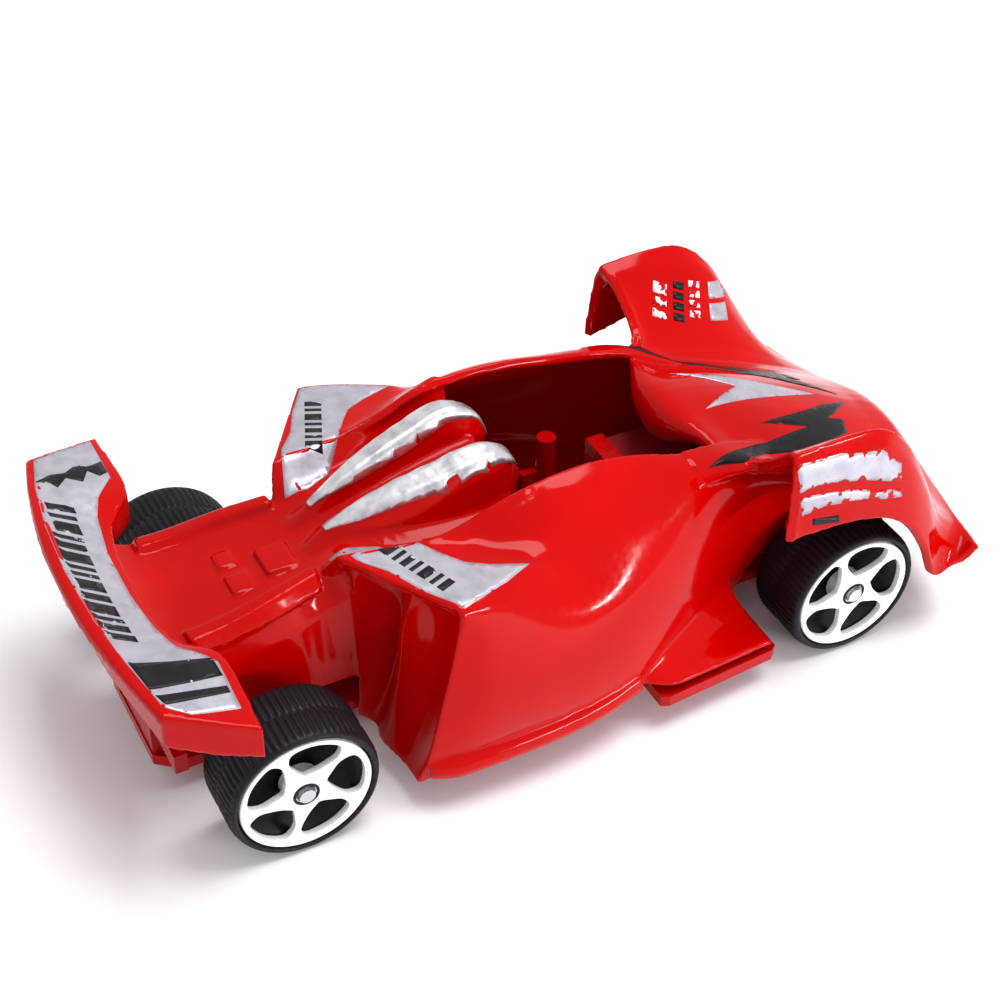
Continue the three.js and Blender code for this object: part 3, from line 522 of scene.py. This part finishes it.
FENDER_SMUDGE = [(82, 32.2), (86.4, 31.8), (86.4, 30.6), (82.1, 31)]


# Bars of a plain made-up pattern.
BAR_GAP = 0.75
WING_BARS = (1.5, 0.9, 2.4, 0.9, 1.5, 2.4, 0.9, 0.9, 2.4, 1.5, 2.4, 0.9, 1.5, 1.5)  # widths
WING_BARS_START = -18.5
WING_BAR_FRONT = 1.8  # behind the wing's front edge
WING_BAR_REAR = 5.6
WING_BAR_SLANT = 1.2
FLARE_BARS = (1.8, 0.7, 1.1, 0.7, 1.6, 0.7, 1.2)


def wing_front(x):
    """Where the front edge of the wing lies at a distance from its middle."""
    return -22.6 + 3.8 * (x / 30) ** 2


def wing_marks():
    """Slanted bars set side by side along the wing."""
    marks = []
    x = WING_BARS_START
    for width in WING_BARS:
        front = wing_front(x) + WING_BAR_FRONT
        rear = wing_front(x) + WING_BAR_REAR
        left, right = x + WING_BAR_SLANT, x + width + WING_BAR_SLANT
        marks.append([(x, front), (x + width, front), (right, rear), (left, rear)])
        x += width + BAR_GAP
    return marks


def band(start, end, widths, gap, across):
    """Bars set side by side along a line from start towards end, each `across` mm long."""
    length = math.dist(start, end)
    dx, dy = (end[0] - start[0]) / length, (end[1] - start[1]) / length
    nx, ny = -dy * across / 2, dx * across / 2
    out = []
    at = 0.0
    for width in widths:
        ax, ay = start[0] + dx * at, start[1] + dy * at
        bx, by = start[0] + dx * (at + width), start[1] + dy * (at + width)
        out.append([(ax - nx, ay - ny), (bx - nx, by - ny), (bx + nx, by + ny), (ax + nx, ay + ny)])
        at += width + gap
    return out


# ---- materials ------------------------------------------------------------------------------------

def new_material(name):
    material = bpy.data.materials.new(name)
    material.use_nodes = True
    tree = material.node_tree
    return material, tree, tree.nodes["Principled BSDF"]


def node(tree, kind, **inputs):
    made = tree.nodes.new(kind)
    for key, value in inputs.items():
        made.inputs[key.replace("_", " ")].default_value = value
    return made


def ramp(tree, source, stops):
    """Colours for a value: each stop is a position and its colour."""
    made = tree.nodes.new("ShaderNodeValToRGB")
    made.color_ramp.elements[0].position = stops[0][0]
    made.color_ramp.elements[0].color = stops[0][1]
    made.color_ramp.elements[1].position = stops[-1][0]
    made.color_ramp.elements[1].color = stops[-1][1]
    for position, colour in stops[1:-1]:
        made.color_ramp.elements.new(position).color = colour
    tree.links.new(source, made.inputs["Fac"])
    return made.outputs["Color"]


def grey(value):
    return (value, value, value, 1)


def noise(tree, scale, detail=4.0):
    """Noise over the piece's own coordinates, with about `scale` blobs to the metre."""
    made = node(tree, "ShaderNodeTexNoise", Scale=scale, Detail=detail)
    coordinates = tree.nodes.new("ShaderNodeTexCoord")
    tree.links.new(coordinates.outputs["Object"], made.inputs["Vector"])
    return made.outputs["Fac"]


# Scales of the noise in each look, in blobs to the metre, and heights of its relief in metres.
DRIFT = 70
SCUFFS = 1100
RIPPLE = 260
RIPPLE_HEIGHT = 0.06 * MM
CHIPS = 620
PRINT_DRIFT = 330
PRINT_SCUFFS = 900
CHIP_DEPTH = 0.08 * MM
CHIP_EDGE = 0.02  # how softly a chip begins


def plastic(name, light, dark, roughness, bump=0.2, specular=0.4, metallic=0.0):
    """A moulded material: slow colour drift, fine scuffs in the gloss and a faint surface ripple."""
    material, tree, shader = new_material(name)
    colour = ramp(tree, noise(tree, DRIFT, 3), [(0.35, dark), (0.65, light)])
    tree.links.new(colour, shader.inputs["Base Color"])
    low, high = roughness
    gloss = ramp(tree, noise(tree, SCUFFS, 8), [(0.35, grey(low)), (0.72, grey(high))])
    tree.links.new(gloss, shader.inputs["Roughness"])
    ripple = node(tree, "ShaderNodeBump", Strength=bump, Distance=RIPPLE_HEIGHT)
    tree.links.new(noise(tree, RIPPLE, 3), ripple.inputs["Height"])
    tree.links.new(ripple.outputs["Normal"], shader.inputs["Normal"])
    shader.inputs["Specular IOR Level"].default_value = specular
    shader.inputs["Metallic"].default_value = metallic
    return material


def worn_print(name, light, dark, bare, metallic, wear):
    """A printed layer that is chipped, most near its edge, where the colour `bare` shows.

    The larger `wear` is, the more of the layer has gone.
    """
    material, tree, shader = new_material(name)
    edge = tree.nodes.new("ShaderNodeAttribute")
    edge.attribute_name = "from_edge"
    sound = tree.nodes.new("ShaderNodeMath")
    sound.operation = "MULTIPLY_ADD"
    sound.inputs[1].default_value = 0.3
    tree.links.new(edge.outputs["Fac"], sound.inputs[0])
    tree.links.new(noise(tree, CHIPS, 6), sound.inputs[2])
    layer = sound.outputs["Value"]
    speck = tree.nodes.new("ShaderNodeMix")
    speck.data_type = "RGBA"
    kept = ramp(tree, layer, [(wear, grey(0)), (wear + CHIP_EDGE, grey(1))])
    tree.links.new(kept, speck.inputs["Factor"])
    speck.inputs[6].default_value = bare
    colour = ramp(tree, noise(tree, PRINT_DRIFT, 6), [(0.35, dark), (0.6, light)])
    tree.links.new(colour, speck.inputs[7])
    tree.links.new(speck.outputs[2], shader.inputs["Base Color"])
    shine = ramp(tree, layer, [(wear, grey(0)), (wear + CHIP_EDGE, grey(metallic))])
    tree.links.new(shine, shader.inputs["Metallic"])
    gloss = ramp(tree, noise(tree, PRINT_SCUFFS, 6), [(0.3, grey(0.24)), (0.75, grey(0.5))])
    tree.links.new(gloss, shader.inputs["Roughness"])
    relief = node(tree, "ShaderNodeBump", Strength=0.35, Distance=CHIP_DEPTH)
    tree.links.new(layer, relief.inputs["Height"])
    tree.links.new(relief.outputs["Normal"], shader.inputs["Normal"])
    shader.inputs["Specular IOR Level"].default_value = 0.2
    return material


RED = plastic(
    "red_gloss", (0.45, 0.0003, 0.0001, 1), (0.4, 0.0002, 0.0001, 1), (0.07, 0.15), 0.2, 0.14)
PLATE_RED = plastic(
    "red_plate", (0.42, 0.0006, 0.0008, 1), (0.36, 0.0004, 0.0008, 1), (0.22, 0.36), 0.06, 0.15)
RUBBER = plastic(
    "black_rubber", (0.008, 0.006, 0.011, 1), (0.004, 0.003, 0.005, 1), (0.4, 0.65), 0.3, 0.2)
FACE = plastic(
    "silvered_face", (0.96, 0.96, 0.98, 1), (0.86, 0.86, 0.9, 1), (0.2, 0.34), 0.05, 0.5, 0.1)
STEEL = plastic(
    "turned_steel", (0.66, 0.66, 0.68, 1), (0.5, 0.5, 0.53, 1), (0.22, 0.4), 0.3, 0.5, 1.0)
CASE = plastic("motor_case", (0.3, 0.004, 0.008, 1), (0.22, 0.003, 0.006, 1), (0.4, 0.6))
CREAM = plastic("gear_nylon", (0.8, 0.76, 0.64, 1), (0.72, 0.68, 0.56, 1), (0.35, 0.5))
SPRING = plastic(
    "blued_spring", (0.16, 0.17, 0.2, 1), (0.1, 0.11, 0.14, 1), (0.25, 0.45), 0.2, 0.5, 1.0)

BARE_RED = (0.42, 0.001, 0.001, 1)
SILVER = (0.45, 0.435, 0.49, 1)
DULL_SILVER = (0.37, 0.355, 0.41, 1)
FOIL = worn_print("silver_foil", SILVER, DULL_SILVER, BARE_RED, 0.45, 0.38)
# The same silver foil made much lighter for the nose ribs: a painted highlight.
PAINTED_HIGHLIGHT_FOIL = worn_print(
    "foil_painted_highlight", (0.85, 0.85, 0.88, 1), (0.55, 0.54, 0.59, 1), BARE_RED, 0.95, 0.24)
WORN_FOIL = worn_print("worn_foil", SILVER, DULL_SILVER, BARE_RED, 0.45, 0.52)
INK = worn_print("black_ink", (0.007, 0.006, 0.009, 1), (0.003, 0.003, 0.004, 1), BARE_RED, 0.0, 0.3)
INK_ON_FOIL = worn_print(
    "ink_on_foil", (0.008, 0.007, 0.01, 1), (0.004, 0.003, 0.005, 1), SILVER, 0.0, 0.36)
PALE_INK = worn_print("pale_ink", (0.85, 0.8, 0.84, 1), (0.7, 0.6, 0.66, 1), BARE_RED, 0.0, 0.5)


# ---- shell and its prints -------------------------------------------------------------------------

shell = fused("shell", shell_walls(), VOXEL, RELAX)
shell.data.materials.append(RED)
place(shell, "car", "body_shell")
surface = BVHTree.FromPolygons([v.co.copy() for v in shell.data.vertices],
                               [tuple(p.vertices) for p in shell.data.polygons])

print_sheet("wing_foil", WING_FOIL, "top", surface, FOIL, "foil")
wing_prints = [("wing_stripe", WING_STRIPE), ("wing_line", WING_LINE), ("wing_flame", WING_FLAME)]
wing_prints += [(f"wing_mark_{i + 1}", mark) for i, mark in enumerate(wing_marks())]
for name, outline in wing_prints:
    print_sheet(name, outline, "top", surface, INK_ON_FOIL, "black_print", rise=OVER_FOIL)
print_pair("flare_foil", FLARE_FOIL, "top", surface, FOIL, "foil")
for i, mark in enumerate(band((12.6, 20.6), (27.2, 26.6), FLARE_BARS, BAR_GAP, 2.6)):
    print_pair(f"flare_mark_{i + 1}", mark, "top", surface, INK_ON_FOIL, "black_print", rise=OVER_FOIL)
# The ribs' silver foil is real; its lighter colour is a painted highlight.
print_pair("rib_foil", RIB_FOIL, "top", surface, PAINTED_HIGHLIGHT_FOIL, "foil", rise=0.15, step=0.45)
print_sheet("deck_arrow", DECK_ARROW, "top", surface, FOIL, "foil", rise=0.04)
print_pair("deck_bolt", DECK_BOLT, "top", surface, INK, "black_print", rise=0.07)
print_pair("fender_panel", FENDER_PANEL, "left", surface, WORN_FOIL, "foil")
print_pair("fender_stripe", FENDER_STRIPE, "left", surface, WORN_FOIL, "foil")
print_pair("fender_smudge", FENDER_SMUDGE, "left", surface, INK, "black_print")

# Rows of bars on the fenders' inner sides: name, look, start, end, bar widths, gap and bar length.
FENDER_ROWS = (
    ("pale", PALE_INK, (88.6, 39.6), (86.6, 35.4), (1.5, 1.1, 1.1), 0.5, 2.6),
    ("dark", INK, (92.2, 38.8), (90, 33.6), (1.0, 1.0, 1.0, 1.0), 0.4, 2.2),
    ("middle", PALE_INK, (95.4, 38), (93.2, 32.4), (0.9, 0.9, 0.9, 0.9), 0.4, 2.4),
    ("rear", FOIL, (100.6, 36), (98.6, 30.6), (2.2, 2.2), 0.6, 4.4),
)
for label, look, start, end, widths, gap, across in FENDER_ROWS:
    for i, mark in enumerate(band(start, end, widths, gap, across)):
        slot = "foil" if look is FOIL else "black_print"
        print_pair(f"fender_{label}_{i + 1}", mark, "inner_right", surface, look, slot)


# ---- wheels ---------------------------------------------------------------------------------------

# Section of a tyre with its moulded-in back disc: radius and distance in from the outer face.
TYRE_SECTION = [
    (1.5, 4), (8.6, 4), (8.6, 1.9), (10.3, 1.9), (10.3, 0.35), (10.5, 0.08), (10.7, 0), (11, 0.12),
    (11.3, 0.6), (11.5, 1.2), (11.6, 1.8), (11.6, 3.4), (11.6, 5.1), (11.45, 5.6), (11.45, 6),
    (11.6, 6.5), (11.6, 8.2), (11.6, 9.8), (11.5, 10.5), (11.2, 11.1), (10.6, 11.5), (9, 11.5),
    (9, 6), (1.5, 6),
]
TREAD_BASE = 10.9  # ridges stand where the radius is over this
TREAD_OUTER = 1.0  # and between these distances in from the outer face
TREAD_INNER = 10.7
TREAD_GROOVE = 5.8  # middle of the groove between the two rows of ridges
RIDGES = 66
RIDGE_DEPTH = 0.34
STEPS = 6  # pieces to a ridge

# The wheel face: sections of its rim ring and its hub, and of a black ring in the hub that is painted
# shade.
RIM_RING = [(9.25, 1.3), (9.3, 0.3), (9.45, 0.12), (9.8, 0.1), (9.98, 0.3), (9.98, 1.3)]
HUB = [(1.5, 3.7), (1.5, 0.5), (1.75, 0.3), (2.2, 0.35), (2.6, 0.7), (2.9, 1.5), (2.9, 3.7)]
HUB_SHADE_RING = [(1.6, 0.5), (1.62, 0.24), (1.8, 0.2), (2.02, 0.24), (2.05, 0.5)]
SPOKES = 5
FACE_RADIUS = 9.75
HUB_HOLE = 1.75
FACE_HALF = 0.42  # half the face's thickness, without its bevels
BEVEL = 0.16
FACE_DEPTH = 0.95  # middle of the face, in from the outer face of the wheel
FACE_DISH = 0.25  # how much deeper it lies at the hub
# Corners of the opening between two spokes, as radius and degrees.
WINDOW = [
    (3.4, 15), (4.9, 31), (6.8, 36), (8.6, 30), (9.05, 13), (9.05, -6), (8.85, -21), (7.3, -27),
    (5.3, -21), (3.9, -6),
]


def spin(section, turns, radius_at=None):
    """Vertices and faces of a closed section turned round the X axis."""
    verts, faces = [], []
    count = len(section)
    for t in range(turns):
        angle = 2 * math.pi * t / turns
        for r, a in section:
            radius = radius_at(r, a, t) if radius_at else r
            verts.append((-a, radius * math.cos(angle), radius * math.sin(angle)))
    for t in range(turns):
        for s in range(count):
            a, b = t * count + s, t * count + (s + 1) % count
            c, d = ((t + 1) % turns) * count + (s + 1) % count, ((t + 1) % turns) * count + s
            faces.append((a, b, c, d))
    return verts, faces


def tread_radius(r, a, turn):
    """Radius of the tyre at one turn of its section, cut down between two ridges."""
    if r < TREAD_BASE or not TREAD_OUTER < a < TREAD_INNER:
        return r
    shift = 0 if a < TREAD_GROOVE else STEPS / 2
    wave = 0.5 - 0.5 * math.cos(2 * math.pi * (turn + shift) / STEPS)
    return r - RIDGE_DEPTH * wave ** 1.6


def window(turn):
    """Outline of the opening between two swirled spokes."""
    steps = 6
    points = []
    for r, degrees in WINDOW:
        angle = turn + math.radians(degrees)
        points.append((r * math.cos(angle), r * math.sin(angle), 0))
    closed = catmull(points[-2:] + points + points[:2], steps)
    return [tuple(p) for p in closed[2 * steps:-2 * steps]][:len(WINDOW) * steps]


def circle(radius, count):
    angles = [2 * math.pi * i / count for i in range(count)]
    return [(radius * math.cos(angle), radius * math.sin(angle), 0) for angle in angles]


def face_mesh(name):
    """A pressed wheel face: a bevelled disc with five swirled openings, a rim ring and a hub."""
    curve = bpy.data.curves.new(name, "CURVE")
    curve.dimensions = "2D"
    curve.fill_mode = "BOTH"
    curve.extrude = FACE_HALF
    curve.bevel_depth = BEVEL
    curve.bevel_resolution = 2
    curve.offset = -BEVEL
    outlines = [circle(FACE_RADIUS, 96), circle(HUB_HOLE, 32)]
    outlines += [window(2 * math.pi * i / SPOKES) for i in range(SPOKES)]
    for outline in outlines:
        spline = curve.splines.new("POLY")
        spline.points.add(len(outline) - 1)
        for point, at in zip(spline.points, outline):
            point.co = (*at, 1)
        spline.use_cyclic_u = True
    holder = bpy.data.objects.new(name, curve)
    scene.collection.objects.link(holder)
    depsgraph = bpy.context.evaluated_depsgraph_get()
    mesh = bmesh.new()
    mesh.from_mesh(bpy.data.meshes.new_from_object(holder.evaluated_get(depsgraph)))
    bpy.data.objects.remove(holder)
    bmesh.ops.remove_doubles(mesh, verts=mesh.verts, dist=0.002)
    for v in mesh.verts:
        x, y, z = v.co
        v.co = (z - FACE_DEPTH - FACE_DISH * max(0, 1 - math.hypot(x, y) / 9), x, y)
    for ring in (RIM_RING, HUB):
        verts, faces = spin(ring, 96)
        made = [mesh.verts.new(v) for v in verts]
        for face in faces:
            mesh.faces.new([made[i] for i in face])
    bmesh.ops.recalc_face_normals(mesh, faces=mesh.faces)
    data = bpy.data.meshes.new(name)
    mesh.to_mesh(data)
    mesh.free()
    return data


def set_wheel(obj, side, y):
    """Move a wheel piece built at the origin in millimetres to its place on an axle."""
    turn = Matrix.Diagonal((side, side, 1, 1))
    shift = Matrix.Translation(Vector((side * HALF_TRACK, y, AXLE_Z)))
    obj.data.transform(shift @ turn)
    for v in obj.data.vertices:
        v.co = to_frame(v.co)
    obj.data.update()


for axle, y in (("front", 0), ("rear", REAR_AXLE)):
    for label, side in (("left", 1), ("right", -1)):
        turned = spin(TYRE_SECTION, RIDGES * STEPS, tread_radius)
        tyre = add_object(f"rubber_{axle}_{label}", mesh_from("tyre", *turned))
        tyre.data.materials.append(RUBBER)
        set_wheel(tyre, side, y)
        place(tyre, f"{axle}_wheels", f"tyre_{axle}_{label}")
        face = add_object(f"face_{axle}_{label}", face_mesh("face"), smooth=False)
        face.data.materials.append(FACE)
        set_wheel(face, side, y)
        place(face, f"{axle}_wheels", f"wheel_face_{axle}_{label}")
        # A black ring in the hub: painted shade of the hole round the axle end.
        ring = add_object(f"hub_shade_ring_{axle}_{label}", mesh_from("hub_shade_ring", *spin(HUB_SHADE_RING, 48)))
        ring.data.materials.append(RUBBER)
        set_wheel(ring, side, y)
        place(ring, f"{axle}_wheels")

# Looks of the CAD pieces that show as they are, by the start of their names.
LOOKS = {
    "chassis_plate": PLATE_RED, "chassis_screw": STEEL, "motor_case": CASE, "front_axle": STEEL,
    "rear_axle": STEEL, "idler_pin": STEEL, "axle_gear": CREAM, "idler_gear": CREAM,
    "spring_gear": CREAM, "mainspring": SPRING,
}
for name, obj in frame["nodes"].items():
    look = next((look for start, look in LOOKS.items() if name.startswith(start)), None)
    if look:
        obj.data.materials.clear()
        obj.data.materials.append(look)


# ---- stage ----------------------------------------------------------------------------------------

def floor():
    mesh = mesh_from("floor", [(-3, -3, 0), (3, -3, 0), (3, 3, 0), (-3, 3, 0)], [(0, 1, 2, 3)])
    obj = add_object("floor", mesh, smooth=False)
    material, tree, shader = new_material("paper")
    grain = ramp(tree, noise(tree, 12, 3), [(0.3, (0.9, 0.885, 0.93, 1)), (0.7, (0.93, 0.92, 0.95, 1))])
    tree.links.new(grain, shader.inputs["Base Color"])
    shader.inputs["Roughness"].default_value = 0.6
    mesh.materials.append(material)


def light(name, spot, target, size, power, stretch=1.0):
    """A rectangular lamp that faces the target, `stretch` times as wide as it is high."""
    lamp = bpy.data.lights.new(name, "AREA")
    lamp.shape = "RECTANGLE"
    lamp.size = size * stretch
    lamp.size_y = size
    lamp.energy = power
    obj = bpy.data.objects.new(name, lamp)
    obj.location = spot
    obj.rotation_euler = (Vector(target) - Vector(spot)).to_track_quat("-Z", "Y").to_euler()
    scene.collection.objects.link(obj)


def world():
    made = bpy.data.worlds.new("studio")
    made.use_nodes = True
    made.node_tree.nodes["Background"].inputs["Color"].default_value = (1, 0.99, 1, 1)
    made.node_tree.nodes["Background"].inputs["Strength"].default_value = 0.72
    scene.world = made


# The camera's bearing from the nose, its height angle and its roll, in degrees.
AZIMUTH = 61.54
ELEVATION = 41.18
ROLL = 1.4
CAMERA_PLACE = (192.6, -58.25, 206.2)
FOCAL_LENGTH = 65.9
LENS_SHIFT = 0.056


def camera():
    azimuth, elevation, roll = (math.radians(a) for a in (AZIMUTH, ELEVATION, ROLL))
    level = math.cos(elevation)
    back = Vector((math.sin(azimuth) * level, -math.cos(azimuth) * level, math.sin(elevation)))
    across = Vector((math.cos(azimuth), math.sin(azimuth), 0))
    upright = back.cross(across)
    right = across * math.cos(roll) + upright * math.sin(roll)
    up = upright * math.cos(roll) - across * math.sin(roll)
    lens = bpy.data.cameras.new("camera")
    lens.lens = FOCAL_LENGTH
    lens.shift_y = LENS_SHIFT
    lens.clip_start = 0.01
    obj = bpy.data.objects.new("camera", lens)
    turn = Matrix((right, up, back)).transposed().to_4x4()
    obj.matrix_world = Matrix.Translation(to_frame(CAMERA_PLACE)) @ turn
    scene.collection.objects.link(obj)
    scene.camera = obj


floor()
world()
light("key", (0.05, 0.2, 0.75), (0, 0, 0.02), size=0.45, power=5.5)
light("strip", (0.55, 0.3, 0.14), (0.03, 0, 0.02), size=0.02, power=2.2, stretch=14)
camera()
scene.view_settings.view_transform = "Standard"
